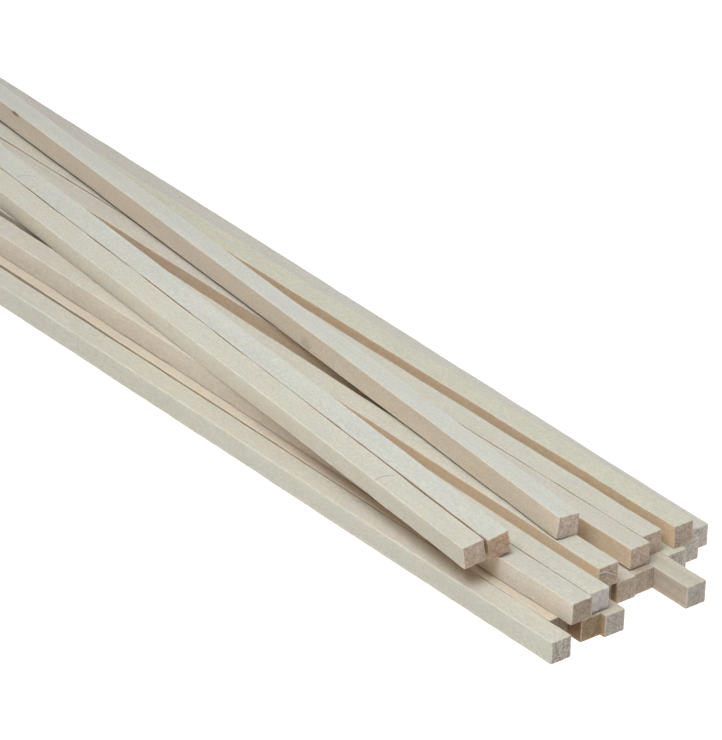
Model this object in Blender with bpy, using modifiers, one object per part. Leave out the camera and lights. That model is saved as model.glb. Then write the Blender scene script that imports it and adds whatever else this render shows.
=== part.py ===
"""A loose pile of twenty square wooden strips, the stock that model makers cut their parts from.

Units are metres, +Z is up. The strips lie along X and their sawn ends at +X are staggered. The pile has
three layers: eleven strips side by side on the table, six on those, and three across the top that lie
askew. The origin is the middle of the pile's footprint, on the table.
"""

import math

import bpy
from mathutils import Euler, Matrix, Vector

MM = 0.001

# Driving dimensions
SIDE = 5.0 * MM  # width and height of the square section
LENGTH = 300.0 * MM  # cut length of every strip
GAP = 0.3 * MM  # air between strips that lie against each other
EASED_EDGE = 0.15 * MM  # the saw leaves the long edges very slightly broken
PITCH = SIDE + GAP  # spacing of strips that lie side by side, and of the layers

# How far the +X ends of the bottom strips stand behind the foremost one, in millimetres, from the -Y side
# of the pile to the +Y side. The strips lie side by side, one PITCH apart, and only the two outermost
# are turned a little.
BOTTOM_SETBACKS = (0, 7, 3, 1.5, 11.5, 10, 10.5, 0, 12, 14, 17)
BOTTOM_FIRST_YAW = 0.2
BOTTOM_LAST_YAW = -0.8

# The looser strips, each as (setback of its +X end, how far that end's middle lies towards +Y from the
# first bottom strip's, yaw, roll), in millimetres and degrees. A negative yaw swings the far end towards
# +Y. A roll stands the strip on its lower -Y edge where it is positive, and on the other where negative.
MIDDLE_STRIPS = (
    (2.5, 7.5, -0.1, 0),
    (3.5, 13.0, -0.5, 0),
    (10, 21.2, -0.6, 0),
    (12, 31.7, 0.1, 0),
    (14.5, 37.2, 0.1, 0),
    (13.5, 45.3, 0.1, 0),
)
TOP_STRIPS = (
    (26, -2.0, -5.2, 8),
    (25.5, 4.4, -5.2, 10),
    (23.5, 21.5, -5.0, -4),
)

# The wood is one pale hardwood, such as lime or basswood, in three shades.
CREAM = (0.66, 0.62, 0.52)
GREY = (0.65, 0.66, 0.60)
PINK = (0.63, 0.54, 0.46)
GREY_STRIPS = ("bottom_strip_01", "bottom_strip_08", "middle_strip_02", "top_strip_01", "top_strip_02")
PINK_STRIPS = ("bottom_strip_05", "bottom_strip_11", "middle_strip_01", "middle_strip_05", "top_strip_03")


def clear_scene():
    for obj in list(bpy.data.objects):
        bpy.data.objects.remove(obj, do_unlink=True)


def wood(strip_name):
    """The strip's own material, in its shade of the wood."""
    colour = GREY if strip_name in GREY_STRIPS else PINK if strip_name in PINK_STRIPS else CREAM
    material = bpy.data.materials.new(f"{strip_name}_wood")
    material.use_nodes = True
    shader = material.node_tree.nodes["Principled BSDF"]
    shader.inputs["Base Color"].default_value = (*colour, 1.0)
    shader.inputs["Roughness"].default_value = 0.75
    shader.inputs["Metallic"].default_value = 0.0
    return material


def bottom_strips():
    """The bottom layer in the looser strips' terms."""
    yaws = [BOTTOM_FIRST_YAW] + [0] * (len(BOTTOM_SETBACKS) - 2) + [BOTTOM_LAST_YAW]
    return [(back, i * PITCH / MM, yaws[i], 0) for i, back in enumerate(BOTTOM_SETBACKS)]


def placements():
    """Each strip's name, and the matrix that carries it into the pile from the X axis, with its end at 0."""
    layers = {"bottom": bottom_strips(), "middle": MIDDLE_STRIPS, "top": TOP_STRIPS}
    placed = {}
    for level, (layer, strips) in enumerate(layers.items()):
        for number, (setback, across, yaw, roll) in enumerate(strips, start=1):
            tilt = math.radians(roll)
            centre_height = SIDE / 2 * (math.cos(tilt) + abs(math.sin(tilt)))
            place = Vector((-setback * MM, across * MM, level * PITCH + centre_height))
            turn = Euler((tilt, 0, math.radians(yaw)), "XYZ")
            placed[f"{layer}_strip_{number:02d}"] = Matrix.Translation(place) @ turn.to_matrix().to_4x4()
    return placed


def footprint_centre(placed):
    """The middle of the pile's outline in plan, from the corners of every strip."""
    corners = [
        matrix @ Vector((x, y * SIDE / 2, z * SIDE / 2))
        for matrix in placed.values()
        for x in (0, -LENGTH)
        for y in (-1, 1)
        for z in (-1, 1)
    ]
    middle = [(min(c[i] for c in corners) + max(c[i] for c in corners)) / 2 for i in (0, 1)]
    return Vector((*middle, 0))


def make_strip(name, matrix, collection):
    """One square strip with eased edges. It slides along its own X axis, from the middle of its +X end."""
    bpy.ops.mesh.primitive_cube_add(size=1)
    strip = bpy.context.object
    strip.name = strip.data.name = name
    strip.data.transform(Matrix.Translation((-LENGTH / 2, 0, 0)) @ Matrix.Diagonal((LENGTH, SIDE, SIDE, 1)))
    strip.matrix_world = matrix
    strip.data.materials.append(wood(name))
    edges = strip.modifiers.new("eased edges", "BEVEL")
    edges.width = EASED_EDGE
    edges.segments = 1
    for other in list(strip.users_collection):
        other.objects.unlink(strip)
    collection.objects.link(strip)


def build_pile():
    collection = bpy.data.collections.new("square_strip_pile")
    bpy.context.scene.collection.children.link(collection)
    placed = placements()
    to_origin = Matrix.Translation(-footprint_centre(placed))
    for name, matrix in placed.items():
        make_strip(name, to_origin @ matrix, collection)


clear_scene()
build_pile()
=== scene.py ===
"""The looks of a loose pile of square wooden strips.

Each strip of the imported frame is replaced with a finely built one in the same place, with sawn faces,
worn edges, rough sawn ends and a pale wood whose grain runs along it. Units are metres. A strip is built
along its own X axis, from its near end at X = 0 back to -length, with its top towards its own +Z.
"""

import math

import bpy
import numpy as np
from mathutils import Matrix, Vector


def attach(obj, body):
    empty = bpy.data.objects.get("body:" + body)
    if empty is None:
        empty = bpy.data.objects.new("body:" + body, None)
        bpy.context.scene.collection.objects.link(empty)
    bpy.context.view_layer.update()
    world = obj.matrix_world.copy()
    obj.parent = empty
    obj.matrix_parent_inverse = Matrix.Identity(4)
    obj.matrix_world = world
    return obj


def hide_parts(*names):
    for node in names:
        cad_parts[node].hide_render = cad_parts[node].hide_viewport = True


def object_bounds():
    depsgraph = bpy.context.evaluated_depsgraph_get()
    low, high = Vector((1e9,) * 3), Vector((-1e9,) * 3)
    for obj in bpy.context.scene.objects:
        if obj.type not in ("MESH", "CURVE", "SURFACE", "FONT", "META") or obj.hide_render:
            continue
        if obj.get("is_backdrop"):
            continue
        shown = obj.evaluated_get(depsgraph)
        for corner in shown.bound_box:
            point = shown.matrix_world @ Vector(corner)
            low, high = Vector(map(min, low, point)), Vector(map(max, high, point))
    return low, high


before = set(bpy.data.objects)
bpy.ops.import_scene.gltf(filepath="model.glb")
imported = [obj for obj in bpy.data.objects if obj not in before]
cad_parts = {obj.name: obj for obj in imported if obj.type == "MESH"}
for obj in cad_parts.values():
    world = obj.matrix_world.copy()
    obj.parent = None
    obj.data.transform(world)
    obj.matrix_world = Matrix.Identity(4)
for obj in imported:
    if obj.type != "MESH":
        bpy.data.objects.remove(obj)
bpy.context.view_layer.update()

MM = 0.001

# The solids keep 0.3 mm of air between strips that really touch, so the faces stand proud of them by this
# much, less a wander that leaves the joints between neighbours finer in some places than in others.
PROUD = 0.14 * MM
WANDER = 0.13 * MM
# Some strips were sawn a little wide on the +Y side, and some are a little hollow underneath, by this much
# at the near end and from FULL_DEPTH on.
WIDE = {"top_strip_01": (0.0, 0.24 * MM), "middle_strip_01": (0.27 * MM, 0.3 * MM)}
HOLLOW = {
    "top_strip_03": (0.0, 0.34 * MM),
    "middle_strip_02": (0.4 * MM, 0.0),
    "middle_strip_03": (0.1 * MM, 0.1 * MM),
    "middle_strip_04": (0.42 * MM, 0.12 * MM),
}
FULL_DEPTH = 85 * MM
# These lie against a neighbour on the +Y side, which is painted in shade.
HEMMED_IN = [f"bottom_strip_{n:02d}" for n in range(1, 11)]
HEMMED_IN += ["middle_strip_01", "middle_strip_04", "top_strip_01"]
# These lie against one only on the -Y side, and are as pale on the +Y side as on top.
PALE_BACKED = ("bottom_strip_11", "middle_strip_02", "middle_strip_05", "top_strip_02")

# The faces wander least at the ends, by this share of WANDER there and by all of it from this far in.
STEADY_SHARE = 0.25
STEADY_REACH = 6 * MM

# How finely a strip is built
EDGE_STEPS = (0.0, 0.015, 0.03, 0.05, 0.09)  # cells beside a corner start at these shares of the face
FACE_CELLS = 20  # cells across a face, those included
STATION_GAP = 1.5 * MM  # spacing of the cross-sections
END_STATIONS = (0.0, 0.06, 0.14, 0.26, 0.45, 0.75, 1.2)  # the closer ones at each end, in millimetres

# Edges and ends
ARRIS = 0.08 * MM  # usual radius of a long edge
CHIPS = 9  # how many chips a strip's long edges have between them
CHIP_DEPTHS = (0.05, 0.2)  # how deep they are, in millimetres, from the least to the most
CHIP_SPREADS = (0.8, 3)  # and how far they spread along the edge
END_WEAR = 0.12 * MM  # how much rounder the long edges are where they reach an end
END_WEAR_REACH = 0.3 * MM
SAW_MARK = 0.012 * MM  # height of the waves that the saw leaves across an end
SAW_MARK_LENGTH = 0.11 * MM  # and their length, divided by 2 pi
END_TILT = 0.012  # the most that an end is out of square, as a slope
END_ROUGHNESS = 0.022  # how far an end's points stray from its plane, in millimetres
RIM_SETBACK = 0.04 * MM  # an end's rim stands this far behind the rest of it
FRAY_REACH = 1.6 * MM  # a sawn end is ragged over at most this length
FRAY_HEIGHT = 0.9 * MM  # and torn up to this height above its lower edge
# How deep the ends are torn along their lower edges, in millimetres: the worst, and the range of the others.
FRAYED = {"middle_strip_01": 0.7, "middle_strip_02": 0.3}
FRAYED_A_LITTLE = (0.03, 0.12)
# A fibre torn loose on a near end, as points (Y, Z) on its face, in millimetres.
TORN_FIBRES = {
    "middle_strip_03": (
        (-2.9, 1.2), (-2.2, 1.75), (-0.9, 1.5), (0.0, 0.9), (1.0, 0.2), (1.8, -0.3), (2.4, -0.6),
    ),
}

# The tones of bare wood, and those of each strip's top, its sides and its sawn ends. Each face's tone was
# # matched to that face as it looked in its light, so the side and end tones are partly painted light and
# shade:
# # the shade_brown and russet sides, the fox sides that face into joints, and the bark and umber ends of
# # bottom_strip_02 and bottom_strip_03 are painted shade, and the oranger amber, tan and corn sides partly
# paint
# # the warm light bounced between strips.
TONES = {
    "chalk": (0.587, 0.51, 0.39),
    "cream": (0.58, 0.487, 0.353),
    "straw": (0.572, 0.485, 0.335),
    "fair": (0.575, 0.475, 0.35),
    "buff": (0.55, 0.46, 0.35),
    "dun": (0.53, 0.43, 0.305),
    "oat": (0.505, 0.44, 0.33),
    "grey": (0.467, 0.42, 0.327),
    "peach": (0.675, 0.535, 0.382),
    "blush": (0.595, 0.495, 0.373),
    "rosy": (0.605, 0.475, 0.33),
    "amber": (0.75, 0.535, 0.33),
    "tan": (0.685, 0.485, 0.292),
    "shell": (0.57, 0.456, 0.37),
    "slate": (0.445, 0.40, 0.345),
    "putty": (0.43, 0.372, 0.306),
    "ash": (0.355, 0.305, 0.25),
    "fawn": (0.452, 0.343, 0.253),
    "sand": (0.404, 0.307, 0.217),
    "honey": (0.454, 0.312, 0.204),
    "clay": (0.38, 0.297, 0.213),
    "umber": (0.295, 0.225, 0.158),
    "corn": (0.65, 0.485, 0.31),
    "fox": (0.52, 0.38, 0.235),
    "drab": (0.47, 0.375, 0.25),
    "russet": (0.35, 0.24, 0.13),
    "shade_brown": (0.24, 0.14, 0.07),
    "bark": (0.26, 0.175, 0.10),
}
STRIP_TONES = {
    "bottom_strip_01": ("cream", "grey", "ash"),
    "bottom_strip_02": ("rosy", "fox", "umber"),
    "bottom_strip_03": ("straw", "shade_brown", "bark"),
    "bottom_strip_04": ("dun", "russet", "ash"),
    "bottom_strip_05": ("cream", "fox", "clay"),
    "bottom_strip_06": ("blush", "drab", "clay"),
    "bottom_strip_07": ("honey", "fox", "clay"),
    "bottom_strip_08": ("dun", "clay", "ash"),
    "bottom_strip_09": ("straw", "fox", "putty"),
    "bottom_strip_10": ("cream", "fox", "putty"),
    "bottom_strip_11": ("buff", "fox", "putty"),
    "middle_strip_01": ("fair", "blush", "umber"),
    "middle_strip_02": ("cream", "drab", "slate"),
    "middle_strip_03": ("cream", "amber", "sand"),
    "middle_strip_04": ("fair", "corn", "fawn"),
    "middle_strip_05": ("cream", "fox", "fawn"),
    "middle_strip_06": ("straw", "tan", "clay"),
    "top_strip_01": ("cream", "oat", "fawn"),
    "top_strip_02": ("chalk", "tan", "honey"),
    "top_strip_03": ("chalk", "peach", "shell"),
}
EDGE_WEAR_AND_HIGHLIGHT = (0.68, 0.595, 0.46)  # the pale edges: crushed fibres, and a painted highlight along the ridges and the sawn ends' rims
HIDDEN_SHADE = (0.42, 0.27, 0.145)  # painted shade: the undersides, and the sides that neighbours hide, in a dark warm brown
DARK = (0.14, 0.07, 0.03)  # knots, a faint brown spot, and painted shade in two slots
FIBRE = (0.53, 0.43, 0.36)  # the torn fibre
PALER = {"top_strip_01": 0.24}  # by how much a strip's side grows paler from its near end to 130 mm in
# How strongly sawn ends are speckled
SPECKLE = 0.8
SPECKLES = {"bottom_strip_01": 1.8, "middle_strip_02": 0.25}
# How strongly the growth rings show along the grain, how far from their pith a strip was cut and how wide
# they are, in millimetres
RINGS = 0.07
STRONG_RINGS = {"bottom_strip_08": 0.26}
PITH_AWAY = (35, 90)
RING_WIDTHS = (1.5, 2.6)

# Knots, a faint brown spot and patches of painted shade, by strip: the middle and the radii along X, Y and Z,
# # in millimetres, and the strength. The patches at the near ends of bottom_strip_06 and top_strip_02, on the
# # -Y side, are painted shade in the slots there.
SPOTS = {
    "bottom_strip_06": (((-0.9, -2.7, 0.0), (1.7, 0.5, 5.0), 0.7),),
    "top_strip_02": (((-1.2, -2.7, 0.0), (2.6, 0.5, 5.0), 0.45),),
    "top_strip_03": (
        ((-218.3, -2.6, 2.15), (2.0, 0.6, 0.5), 0.8),
        ((-94.8, -2.6, -0.9), (2.2, 0.6, 1.6), 0.22),
    ),
}
# Fine curved scores across a top face, by strip: where it starts and ends, as X and Y in millimetres.
SCORES = {
    "top_strip_01": ((-32.5, -2.5), (-31.0, 1.9)),
    "top_strip_02": ((-189.9, -2.1), (-186.2, 1.5)),
}
SCORE_BOW = 0.8 * MM  # how far a score's middle lies from the straight line between its ends
SCORE_TONE = (0.42, 0.42, 0.42)  # against the top's own

# The studio light: a little blue from above, and warm from the horizon, which is what reaches under the
# strips. Lengths are in metres.
COOL = (0.85, 1.0, 1.19)
WARM = (1.15, 0.93, 0.68)
SKY_STRENGTH = 0.45
LAMP_PLACE = (0.27, -0.57, 1.14)
LAMP_SIZE = 0.95
LAMP_WATTS = 16.6
FLOOR_SIZE = 8
FLOOR_GREY = (0.44, 0.43, 0.42)
FLOOR_GLOW = 0.8
WALL_RADIUS = 3.9
WALL_HEIGHT = 3

# Camera: the point it looks at, and from where, in radians and metres
AIM = Vector((0.0435, 0.0166, 0.0))
AZIMUTH = math.radians(49.88)
ELEVATION = math.radians(29.02)
ROLL = math.radians(2.12)
DISTANCE = 1.2963
LENS_MM = 283.4


# ---- shape ----


def strip_place(node):
    """The matrix of a strip's own axes, and its length, width and height, from its solid's largest faces."""
    mesh = node.data

    def facing(direction):
        faces = [p for p in mesh.polygons if p.normal.dot(direction) > 0.9]
        return max(faces, key=lambda p: p.area).normal.normalized()

    along = facing(Vector((1, 0, 0)))
    up = facing(Vector((0, 0, 1)))
    across = up.cross(along).normalized()
    axes = Matrix((along, across, up))
    local = np.array([axes @ v.co for v in mesh.vertices])
    low, high = local.min(0), local.max(0)
    near_end = Vector((high[0], *(low[1:] + high[1:]) / 2))
    place = Matrix.Translation(axes.transposed() @ near_end) @ axes.transposed().to_4x4()
    return place, high - low


def wave(rng, count, knots):
    """A smooth random curve from about -1 to 1 with this many knots, read at count even steps."""
    values = rng.uniform(-1.5, 1.5, knots + 3)
    t = np.linspace(0, knots, count)
    i = t.astype(int).clip(0, knots - 1)
    u = t - i
    weights = ((1 - u) ** 3, 3 * u**3 - 6 * u**2 + 4, -3 * u**3 + 3 * u**2 + 3 * u + 1, u**3)
    return sum(w * values[i + k] for k, w in enumerate(weights)) / 6


def face_steps():
    """Where the cells start and end across one face, from -1 to 1, closer together beside the corners."""
    edge = np.array(EDGE_STEPS)
    flat = np.linspace(edge[-1], 1 - edge[-1], FACE_CELLS - 2 * (len(edge) - 1) + 1)
    return 2 * np.concatenate([edge[:-1], flat, 1 - edge[-2::-1]]) - 1


def outline(steps):
    """The points round a square section, from -1 to 1, counter-clockwise seen from the near end.
    They run along the bottom, up the +Y side, back along the top and down the -Y side."""
    s, one = steps[:-1], np.ones(len(steps) - 1)
    return np.concatenate([
        np.column_stack(side) for side in ((s, -one), (one, s), (-s, one), (-one, -s))
    ])


def station_depths(length):
    """How far each cross-section lies behind the near end."""
    near = np.array(END_STATIONS) * MM
    body = np.linspace(near[-1], length - near[-1], round(length / STATION_GAP))
    return np.concatenate([near[:-1], body, length - near[-2::-1]])


def arris_radii(rng, depths):
    """The radius of each long edge at each cross-section: worn unevenly, with a few chips."""
    count = len(depths)
    radii = np.array([
        ARRIS * (1 + 0.35 * wave(rng, count, 70) + 0.3 * wave(rng, count, 12)) for _ in range(4)
    ])
    for _ in range(CHIPS):
        edge, middle = rng.integers(4), rng.uniform(0, depths[-1])
        size, spread = rng.uniform(*CHIP_DEPTHS) * MM, rng.uniform(*CHIP_SPREADS) * MM
        radii[edge] += size * np.exp(-(((depths - middle) / spread) ** 2))
    from_end = np.minimum(depths, depths[-1] - depths)
    return radii + END_WEAR * np.exp(-from_end / END_WEAR_REACH)


def section(ring, half, radii):
    """The section's outline at its real size, its four corners rounded to their radii."""
    sharp = ring * half
    corner = np.where(ring[:, 1] < 0, np.where(ring[:, 0] < 0, 0, 1), np.where(ring[:, 0] > 0, 2, 3))
    radius = radii[corner][:, None]
    core = np.clip(sharp, radius - half, half - radius)
    out = sharp - core
    reach = np.maximum(np.linalg.norm(out, axis=1, keepdims=True), 1e-12)
    return core + out / reach * np.minimum(radius, reach * 10)


def torn_fibre(strip, path, rng):
    """A fine fibre of wood that hangs from a strip's near end, through points on its face in millimetres."""
    rings, sides, smoothed = 40, 8, 9
    path = np.array(path)
    turns = np.linspace(0, len(path) - 1, rings)
    y, z = (np.interp(turns, range(len(path)), path[:, i]) for i in (0, 1))
    kernel = np.ones(smoothed) / smoothed
    y, z = (np.convolve(np.pad(v, smoothed // 2, mode="edge"), kernel, mode="valid") for v in (y, z))
    # It bows out of the end's face in the middle, and is finest at both its tips.
    along = np.linspace(0, 1, rings)
    x = 0.10 + 0.22 * np.sin(math.pi * along) + 0.02 * wave(rng, rings, 9)
    radius = 0.11 * np.sin(math.pi * along) ** 0.5 + 0.02
    turn = np.linspace(0, 2 * math.pi, sides, endpoint=False)
    across = np.column_stack([-np.gradient(z), np.gradient(y)])
    across /= np.linalg.norm(across, axis=1, keepdims=True)
    points = [
        (x[i] + r * math.sin(a), y[i] + r * math.cos(a) * across[i, 0], z[i] + r * math.cos(a) * across[i, 1])
        for i, r in enumerate(radius)
        for a in turn
    ]
    faces = []
    for a in range(0, sides * (rings - 1), sides):
        b = a + sides
        faces += [(a + k, a + (k + 1) % sides, b + (k + 1) % sides, b + k) for k in range(sides)]
    faces += [tuple(range(sides))[::-1], tuple(sides * (rings - 1) + k for k in range(sides))]
    mesh = bpy.data.meshes.new(f"{strip}_fibre")
    mesh.from_pydata([tuple(v * MM for v in p) for p in points], [], faces)
    mesh.shade_smooth()
    return mesh


def end_relief(rng, y, z, half, fray):
    """How far a sawn end stands forward of its plane at these points of its face."""
    tilt = rng.uniform(-END_TILT, END_TILT, 2)
    angle = rng.uniform(0, math.pi)
    scored = y * math.cos(angle) + z * math.sin(angle)
    relief = tilt[0] * y + tilt[1] * z + SAW_MARK * np.sin(scored / SAW_MARK_LENGTH)
    relief = relief + rng.normal(0, END_ROUGHNESS, np.shape(y)) * MM
    # The saw breaks fibres out where it leaves the wood, along the lower edge.
    low = np.clip(1 - (z + half[1]) / FRAY_HEIGHT, 0, 1) ** 2
    return relief - fray * MM * low * rng.uniform(0.5, 1, np.shape(y))


def wander(points, name, ring, depths, rng):
    """Moves each long face a little inwards of its plane, and least near the ends."""
    count = len(depths)
    steady = np.clip(np.minimum(depths, depths[-1] - depths) / STEADY_REACH, STEADY_SHARE, 1)
    for axis, facing in ((1, -1), (1, 1), (2, -1), (2, 1)):
        unevenness = 0.4 * wave(rng, count, 110 if axis == 1 else 40) + 0.25 * wave(rng, count, 12)
        drift = WANDER * np.clip(0.4 + unevenness, 0, 1) * steady
        if (axis, facing) == (1, 1) and name in WIDE:
            width = np.interp(depths, (0, FULL_DEPTH), WIDE[name])
            drift -= width * (0.8 + 0.35 * wave(rng, count, 50))
        if (axis, facing) == (2, -1) and name in HOLLOW:
            drift += np.interp(depths, (0, FULL_DEPTH), HOLLOW[name])
        share = np.clip(ring[:, axis - 1] * facing, 0, 1) ** 2
        points[:, :, axis] -= facing * drift[:, None] * share


def end_faces(cells, rim, inside, sign):
    """The faces of one end, whose rim's points are numbered from rim on, and those in it from inside on."""
    index = np.full((cells + 1, cells + 1), -1)
    for k in range(cells):
        index[k, 0] = rim + k
        index[cells, k] = rim + cells + k
        index[cells - k, cells] = rim + 2 * cells + k
        index[0, cells - k] = rim + 3 * cells + k
    index[1:cells, 1:cells] = inside + np.arange((cells - 1) ** 2).reshape(cells - 1, -1)
    corners = (index[:-1, :-1], index[1:, :-1], index[1:, 1:], index[:-1, 1:])
    return np.stack(corners, axis=-1).reshape(-1, 4)[:, ::sign].tolist()


def shading_masks(name, ring, steps, depths):
    """What the wood's shading reads: how far a point is on a sawn end, off the top, out of sight, where it is
    painted in shade, and along an edge, which is pale with wear and a painted highlight, from 0 to 1, for the
    points of the cross-sections and for those inside one end."""
    from_end = np.minimum(depths, depths[-1] - depths)
    at_end = from_end[:, None] < 0.03 * MM
    out_of_sight = ring[:, 1] < -0.98
    if name in HEMMED_IN:
        out_of_sight |= ring[:, 0] > 0.98
    off_top = np.abs(ring[:, 0]) > ring[:, 1]
    if name in PALE_BACKED:
        off_top &= ring[:, 0] < np.abs(ring[:, 1])
    beside = np.clip((np.abs(ring).min(1) - 0.72) / 0.26, 0, 1) ** 2
    y, z = np.meshgrid(steps[1:-1], steps[1:-1], indexing="ij")
    rim = np.clip((np.maximum(np.abs(y), np.abs(z)).ravel() - 0.88) / 0.09, 0, 1)
    masks = {
        "sawn_end": (at_end, 1),
        "side": (off_top, 0),
        "hidden_shade": (out_of_sight, 0),
        "edge": (np.where(at_end, 0.5, 0.25 * beside), 0.5 * rim),
    }
    shape = (len(depths), len(ring))
    return {
        mask: (np.broadcast_to(along, shape).ravel(), np.broadcast_to(end, rim.shape))
        for mask, (along, end) in masks.items()
    }


def strip_mesh(name, size, rng, fray):
    """A strip's whole surface: cross-sections all along it, and a grid of points inside each sawn end."""
    length = size[0]
    half = np.array(size[1:]) / 2 + PROUD
    steps = face_steps()
    cells = len(steps) - 1
    ring = outline(steps)
    around = len(ring)
    depths = station_depths(length)
    count = len(depths)
    radii = arris_radii(rng, depths)

    points = np.empty((count, around, 3))
    points[:, :, 0] = -depths[:, None]
    for i in range(count):
        points[i, :, 1:] = section(ring, half, radii[:, i])
    wander(points, name, ring, depths, rng)

    inside, faces = [], []
    for a in range(0, around * (count - 1), around):
        b = a + around
        faces += [(a + k, b + k, b + (k + 1) % around, a + (k + 1) % around) for k in range(around)]
    y, z = np.meshgrid(steps[1:-1] * half[0], steps[1:-1] * half[1], indexing="ij")
    for end, sign in ((0, 1), (count - 1, -1)):
        rim = points[end, :, 1:]
        relief = end_relief(rng, rim[:, 0], rim[:, 1], half, fray) - RIM_SETBACK
        reach = np.clip(1 - np.abs(depths - depths[end]) / FRAY_REACH, 0, 1)
        points[:, :, 0] += sign * reach[:, None] * np.clip(relief, -0.8 * FRAY_REACH, 0.05 * MM)
        faces += end_faces(cells, end * around, count * around + len(inside), sign)
        x = -depths[end] + sign * end_relief(rng, y, z, half, fray)
        inside += np.column_stack([x.ravel(), y.ravel(), z.ravel()]).tolist()
    mesh = bpy.data.meshes.new(name)
    mesh.from_pydata(points.reshape(-1, 3).tolist() + inside, [], faces)

    for mask, (along, end) in shading_masks(name, ring, steps, depths).items():
        values = np.concatenate([along, end, end]).astype(np.float32)
        mesh.attributes.new(mask, "FLOAT", "POINT").data.foreach_set("value", values)
    mesh.update()
    mesh.shade_smooth()
    return mesh


# ---- materials ----


class Shading:
    """Short calls that add and join the nodes of a material or a world."""

    def __init__(self, owner):
        owner.use_nodes = True
        self.tree = owner.node_tree

    def put(self, socket, value):
        if isinstance(value, bpy.types.NodeSocket):
            self.tree.links.new(value, socket)
        else:
            socket.default_value = value

    def node(self, kind, inputs, **settings):
        made = self.tree.nodes.new(kind)
        for name, value in settings.items():
            setattr(made, name, value)
        for socket, value in inputs.items():
            self.put(made.inputs[socket], value)
        return made

    def mask(self, name):
        return self.node("ShaderNodeAttribute", {}, attribute_name=name).outputs["Fac"]

    def maths(self, operation, *values):
        return self.node("ShaderNodeMath", dict(enumerate(values)), operation=operation).outputs[0]

    def vector(self, operation, *values):
        return self.node("ShaderNodeVectorMath", dict(enumerate(values)), operation=operation)

    def ramp(self, value, low, high, to_low=0.0, to_high=1.0):
        ends = {"Value": value, "From Min": low, "From Max": high, "To Min": to_low, "To Max": to_high}
        return self.node("ShaderNodeMapRange", ends, interpolation_type="SMOOTHSTEP").outputs[0]

    def noise(self, point, grain, detail=3.0, roughness=0.55):
        """Noise whose blobs are about as large as grain says, along X, Y and Z, in millimetres."""
        scale = [1 / (g * MM) for g in grain]
        spread = self.vector("MULTIPLY", point, scale).outputs[0]
        inputs = {"Vector": spread, "Scale": 1.0, "Detail": detail, "Roughness": roughness}
        return self.node("ShaderNodeTexNoise", inputs).outputs[0]

    def weigh(self, start, *terms):
        """The start plus each term's distance from a half, times its weight."""
        total = start - sum(weight for _, weight in terms) / 2
        for value, weight in terms:
            total = self.maths("MULTIPLY_ADD", value, weight, total)
        return total

    def mix(self, factor, *colours):
        """The first colour where the factor is 0, the second where it is 1."""
        a, b = ((*c, 1) if isinstance(c, tuple) else c for c in colours)
        return self.node("ShaderNodeMix", {0: factor, 6: a, 7: b}, data_type="RGBA").outputs[2]


def tinted(tone, factors):
    """A tone with its red, green and blue multiplied by these factors."""
    return tuple(c * f for c, f in zip(tone, factors))


def spot(s, place, fuzz, middle, radii, strength):
    """How strongly a knot, a spot or a patch of painted shade shows, with a ragged outline."""
    offset = s.vector("SUBTRACT", place, tuple(v * MM for v in middle)).outputs[0]
    scaled = s.vector("DIVIDE", offset, tuple(v * MM for v in radii)).outputs[0]
    ragged = s.maths("ADD", s.vector("LENGTH", scaled).outputs["Value"], s.maths("MULTIPLY", fuzz, 0.5))
    return s.ramp(ragged, 1.5, 0.5, 0.0, strength)


def score(s, place, start, stop):
    """How strongly a fine bowed line across the top face shows, from start to stop in millimetres."""
    (x0, y0), (x1, y1) = start, stop
    x, y, z = s.node("ShaderNodeSeparateXYZ", {0: place}).outputs
    along = s.node("ShaderNodeMapRange", {0: y, 1: y0 * MM, 2: y1 * MM}).outputs[0]
    arc = s.maths("MULTIPLY", s.maths("MULTIPLY", along, s.maths("SUBTRACT", 1, along)), -4 * SCORE_BOW)
    chord = s.maths("MULTIPLY_ADD", along, (x1 - x0) * MM, x0 * MM)
    distance = s.maths("ABSOLUTE", s.maths("SUBTRACT", x, s.maths("ADD", chord, arc)))
    line = s.ramp(distance, 0.42 * MM, 0.10 * MM, 0.0, 0.40)
    within = s.ramp(s.maths("ABSOLUTE", s.maths("SUBTRACT", along, 0.5)), 0.5, 0.42)
    upper = s.maths("GREATER_THAN", z, 2.4 * MM)
    return s.maths("MULTIPLY", s.maths("MULTIPLY", line, within), upper)


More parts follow.
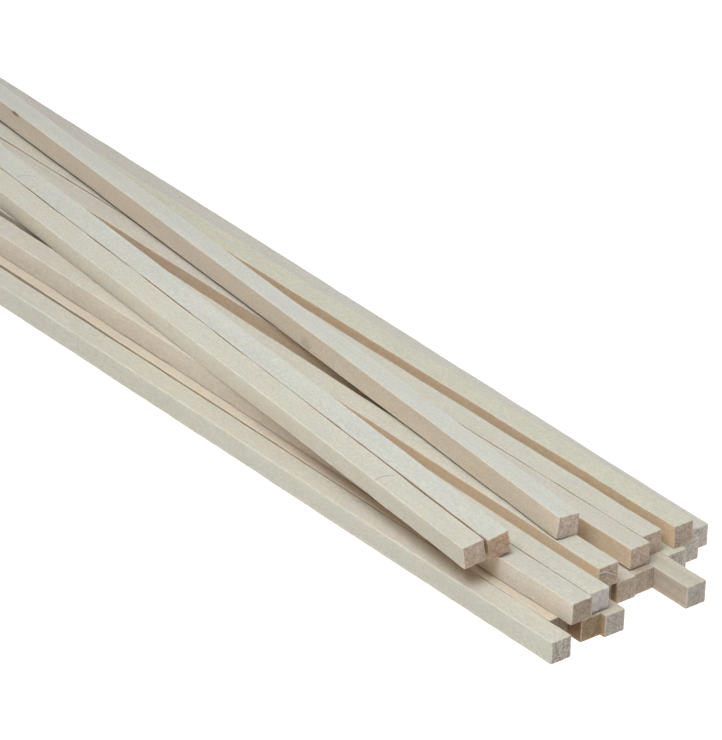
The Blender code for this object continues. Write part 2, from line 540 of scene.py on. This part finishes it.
def wood(strip, rng):
    """Pale sawn hardwood. Each strip is cut from its own place in the timber and has its own tones."""
    material = bpy.data.materials.new(f"{strip}_wood")
    s = Shading(material)
    shader = s.tree.nodes["Principled BSDF"]
    place = s.node("ShaderNodeTexCoord", {}).outputs["Object"]
    x = s.node("ShaderNodeSeparateXYZ", {0: place}).outputs[0]
    cut = s.vector("ADD", place, rng.uniform(-5, 5, 3)).outputs[0]
    top, side, end = (TONES[tone] for tone in STRIP_TONES[strip])

    broad = s.noise(cut, (90, 1.6, 1.6), 2)
    streaks = s.noise(cut, (26, 0.34, 0.34), 3, 0.55)
    mottle = s.noise(cut, (12, 4.5, 4.5), 3, 0.6)
    fuzz = s.noise(cut, (0.75, 0.42, 0.42), 2, 0.6)
    pores = s.ramp(s.noise(cut, (2.6, 0.13, 0.13), 2, 0.5), 0.60, 0.72)

    # Growth rings about a pith that lies well outside the strip.
    angle, away = rng.uniform(0, 2 * math.pi), rng.uniform(*PITH_AWAY) * MM
    pith = (0.0, away * math.cos(angle), away * math.sin(angle))
    from_pith = s.vector("MULTIPLY", s.vector("SUBTRACT", place, pith).outputs[0], (0.006, 1, 1)).outputs[0]
    radius = s.vector("LENGTH", from_pith).outputs["Value"]
    bent = s.maths("ADD", radius, s.maths("MULTIPLY", s.noise(cut, (60, 4, 4), 2), 1.6 * MM))
    rings = s.maths("FRACT", s.maths("DIVIDE", bent, rng.uniform(*RING_WIDTHS) * MM))
    late = s.ramp(rings, 0.55, 0.95)

    shade = s.weigh(0.5, (broad, 0.15), (streaks, 0.22), (mottle, 0.30), (fuzz, 1.2))
    shade = s.maths("SUBTRACT", shade, s.maths("MULTIPLY", late, STRONG_RINGS.get(strip, RINGS)))
    shade = s.maths("SUBTRACT", shade, s.maths("MULTIPLY", pores, 0.18))
    shade = s.ramp(shade, 0.0, 1.0)
    dark, light = (0.87, 0.85, 0.82), (1.12, 1.13, 1.14)
    top_wood = s.mix(shade, tinted(top, dark), tinted(top, light))
    side_wood = s.mix(shade, tinted(side, dark), tinted(side, light))
    if strip in PALER:
        less, more = 1 - PALER[strip] / 2, 1 + PALER[strip] / 2
        growth = s.mix(s.ramp(x, -0.13, 0.0), (more, more, more), (less, less, less))
        side_wood = s.vector("MULTIPLY", side_wood, growth).outputs[0]
    # Sides take their own tones, which are partly painted shade and painted bounced light.
    long_grain = s.mix(s.mask("side"), top_wood, side_wood)
    # Painted shade: the undersides and the sides that a neighbour hides take a dark warm brown, which also
    # warms the light in the gaps.
    long_grain = s.mix(s.mask("hidden_shade"), long_grain, HIDDEN_SHADE)

    # The wood's hue drifts from patch to patch, between warm and cool and between pink and green.
    warmth = s.mix(s.noise(cut, (6, 3, 3), 4, 0.7), (0.93, 1.0, 1.09), (1.07, 1.0, 0.91))
    blush = s.mix(s.noise(cut, (4, 2.5, 2.5), 4, 0.7), (1.0, 0.93, 0.99), (1.0, 1.07, 1.01))
    hue = s.vector("MULTIPLY", warmth, blush).outputs[0]
    long_grain = s.vector("MULTIPLY", long_grain, hue).outputs[0]

    # Sawn ends: open pores, torn fibres and the rings' arcs.
    torn = s.noise(cut, (0.6, 0.5, 0.5), 3, 0.6)
    patch = s.noise(cut, (3, 1.4, 1.4), 2)
    tearing = s.weigh(0.5, (torn, SPECKLES.get(strip, SPECKLE)), (patch, 0.35))
    tearing = s.maths("SUBTRACT", tearing, s.maths("MULTIPLY", late, 0.06))
    torn_shade = s.ramp(tearing, 0.22, 0.78)
    end_grain = s.mix(torn_shade, tinted(end, (0.68, 0.65, 0.62)), tinted(end, (1.30, 1.32, 1.34)))
    colour = s.mix(s.mask("sawn_end"), long_grain, end_grain)
    # Painted shade: the far part of each strip is a little darker, as the lamp's light falls off there.
    far_shade = s.mix(s.ramp(x, -0.30, -0.07), (0.87, 0.855, 0.86), (1.0, 1.0, 1.0))
    colour = s.vector("MULTIPLY", colour, far_shade).outputs[0]

    # Pale edges in uneven patches: partly crushed fibres, partly a painted highlight along the ridges and
    # round the sawn ends' rims.
    worn = s.ramp(s.noise(cut, (5, 0.8, 0.8), 3, 0.6), 0.36, 0.62, 0.15, 1.0)
    colour = s.mix(s.maths("MULTIPLY", s.mask("edge"), worn), colour, EDGE_WEAR_AND_HIGHLIGHT)

    # Knots, a spot, and patches of painted shade.
    for middle, radii, strength in SPOTS.get(strip, ()):
        colour = s.mix(spot(s, place, fuzz, middle, radii, strength), colour, DARK)
    if strip in SCORES:
        colour = s.mix(score(s, place, *SCORES[strip]), colour, tinted(top, SCORE_TONE))
    s.put(shader.inputs["Base Color"], colour)

    dry = s.maths("MULTIPLY_ADD", streaks, 0.25, 0.62)
    s.put(shader.inputs["Roughness"], s.maths("MAXIMUM", dry, s.maths("MULTIPLY", s.mask("sawn_end"), 0.92)))
    shader.inputs["Specular IOR Level"].default_value = 0.3
    shader.inputs["Subsurface Weight"].default_value = 0.7
    shader.inputs["Subsurface Radius"].default_value = (1.0, 0.8, 0.6)
    shader.inputs["Subsurface Scale"].default_value = 0.9 * MM

    # Raised grain, fuzz and the saw's fine marks across the faces.
    sawn = s.noise(cut, (0.45, 2.2, 2.2), 2)
    height = s.weigh(0.5, (streaks, 0.6), (fuzz, 0.6), (sawn, 0.35))
    height = s.maths("SUBTRACT", height, s.maths("MULTIPLY", pores, 0.5))
    end_height = s.maths("MULTIPLY", torn, 2.2)
    heights = {0: s.mask("sawn_end"), 2: height, 3: end_height}
    swap = s.node("ShaderNodeMix", heights, data_type="FLOAT").outputs[0]
    bump = s.node("ShaderNodeBump", {"Strength": 0.6, "Distance": 0.05 * MM, "Height": swap})
    s.put(shader.inputs["Normal"], bump.outputs[0])
    return material


def pale_fibre():
    """The torn fibre's wood, a little darker in one place than in another."""
    material = bpy.data.materials.new("fibre_wood")
    s = Shading(material)
    shader = s.tree.nodes["Principled BSDF"]
    place = s.node("ShaderNodeTexCoord", {}).outputs["Object"]
    shade = s.noise(place, (0.6, 0.4, 0.4), 3)
    dark, light = (tinted(FIBRE, (f, f, f)) for f in (0.8, 1.2))
    s.put(shader.inputs["Base Color"], s.mix(shade, dark, light))
    shader.inputs["Roughness"].default_value = 0.8
    return material


# ---- the pile ----


def build_strip(strip, number):
    """Puts a finely built strip in the place of the frame's, and its torn fibre."""
    place, size = strip_place(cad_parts[strip])
    rng = np.random.default_rng(100 + number)
    fray = FRAYED.get(strip, rng.uniform(*FRAYED_A_LITTLE))
    piece = bpy.data.objects.new(strip.replace("strip", "wood"), strip_mesh(strip, size, rng, fray))
    bpy.context.scene.collection.objects.link(piece)
    piece.matrix_world = place
    piece.data.materials.append(wood(strip, rng))
    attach(piece, strip)
    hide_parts(strip)
    if strip in TORN_FIBRES:
        fibre = bpy.data.objects.new(f"{piece.name}_fibre", torn_fibre(strip, TORN_FIBRES[strip], rng))
        bpy.context.scene.collection.objects.link(fibre)
        fibre.matrix_world = place
        fibre.data.materials.append(pale_fibre())
        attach(fibre, strip)


# ---- studio ----


def set_up(surface, name, colour, glow):
    """Gives a surface of the studio its name and a matt colour that glows white by this much."""
    surface.name = name
    material = bpy.data.materials.new(f"{name}_white")
    material.use_nodes = True
    shader = material.node_tree.nodes["Principled BSDF"].inputs
    shader["Base Color"].default_value = (*colour, 1)
    shader["Emission Color"].default_value = (1.0, 1.0, 1.0, 1)
    shader["Emission Strength"].default_value = glow
    shader["Roughness"].default_value = 0.95
    surface.data.materials.append(material)
    surface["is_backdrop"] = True


def studio():
    """A white table in a white room, lit by the sky and one large lamp overhead."""
    scene = bpy.context.scene
    scene.view_settings.view_transform = "Standard"
    world = bpy.data.worlds.new("studio")
    sky = Shading(world)
    direction = sky.node("ShaderNodeTexCoord", {}).outputs["Generated"]
    height = sky.node("ShaderNodeSeparateXYZ", {0: direction}).outputs[2]
    background = sky.tree.nodes["Background"].inputs
    sky.put(background["Color"], sky.mix(sky.ramp(height, 0.0, 0.5), WARM, COOL))
    background["Strength"].default_value = SKY_STRENGTH
    scene.world = world

    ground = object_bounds()[0].z
    bpy.ops.mesh.primitive_plane_add(size=FLOOR_SIZE, location=(0, 0, ground))
    set_up(bpy.context.object, "floor", FLOOR_GREY, FLOOR_GLOW)
    # A white wall all round, which is only a background: it takes no light away and gives none.
    bpy.ops.mesh.primitive_cylinder_add(
        vertices=96, radius=WALL_RADIUS, depth=WALL_HEIGHT, end_fill_type="NOTHING"
    )
    wall = bpy.context.object
    wall.location.z = ground + WALL_HEIGHT / 2
    set_up(wall, "wall", (0.0, 0.0, 0.0), 1.0)
    wall.visible_diffuse = wall.visible_glossy = wall.visible_transmission = False
    wall.visible_volume_scatter = wall.visible_shadow = False

    light = bpy.data.lights.new("overhead", "AREA")
    light.shape = "DISK"
    light.size = LAMP_SIZE
    light.energy = LAMP_WATTS
    light.color = COOL
    lamp = bpy.data.objects.new("overhead", light)
    scene.collection.objects.link(lamp)
    lamp.location = LAMP_PLACE
    lamp.rotation_euler = (-lamp.location).to_track_quat("-Z", "Y").to_euler()


def camera():
    """The photo's camera."""
    back = Vector((
        math.cos(ELEVATION) * math.sin(AZIMUTH),
        -math.cos(ELEVATION) * math.cos(AZIMUTH),
        math.sin(ELEVATION),
    ))
    data = bpy.data.cameras.new("camera")
    data.lens = LENS_MM
    data.clip_start, data.clip_end = 0.05, 20
    cam = bpy.data.objects.new("camera", data)
    bpy.context.scene.collection.objects.link(cam)
    level = back.to_track_quat("Z", "Y").to_matrix().to_4x4()
    cam.matrix_world = Matrix.Translation(AIM + DISTANCE * back) @ level @ Matrix.Rotation(ROLL, 4, "Z")
    bpy.context.scene.camera = cam


for number, strip in enumerate(sorted(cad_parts), start=1):
    build_strip(strip, number)
studio()
camera()
